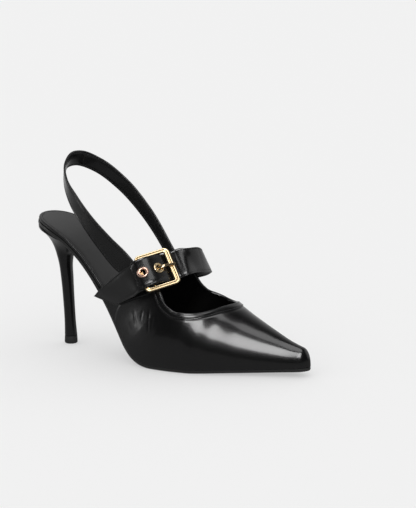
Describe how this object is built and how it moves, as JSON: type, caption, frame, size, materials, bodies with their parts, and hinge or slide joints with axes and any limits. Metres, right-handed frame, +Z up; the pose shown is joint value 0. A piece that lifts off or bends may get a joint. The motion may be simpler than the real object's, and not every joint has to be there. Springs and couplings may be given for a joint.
{
  "type": "slingback pump",
  "caption": "Right slingback pump with a pointed closed toe, scooped throat, buckled instep strap, sling heel strap and a stiletto heel, standing on heel tip and forefoot.",
  "frame": {"origin": "middle of the heel tip's flat face, on the floor", "axes": "+X to the toe, +Y to the inner side of the foot, +Z up from the floor"},
  "size_m": [0.2429, 0.0824, 0.1622],
  "materials": {
    "black_leather": "polished box leather, glossy black",
    "insole_leather": "smooth black lining leather, satin",
    "sole_leather": "black edge-painted sole leather, satin",
    "rubber": "matt black rubber",
    "gold": "polished pale gold plating"
  },
  "bodies": {
    "root": {"outsole": "sole_leather", "insole": "insole_leather", "heel": "black_leather", "top_piece": "rubber", "upper": "black_leather", "instep_strap": "black_leather", "base_strap": "black_leather", "sling_strap": "black_leather", "buckle_frame": "gold", "buckle_bar": "gold", "prong": "gold", "eyelet_engaged": "gold", "eyelet_spare": "gold"}
  },
  "joints": []
}
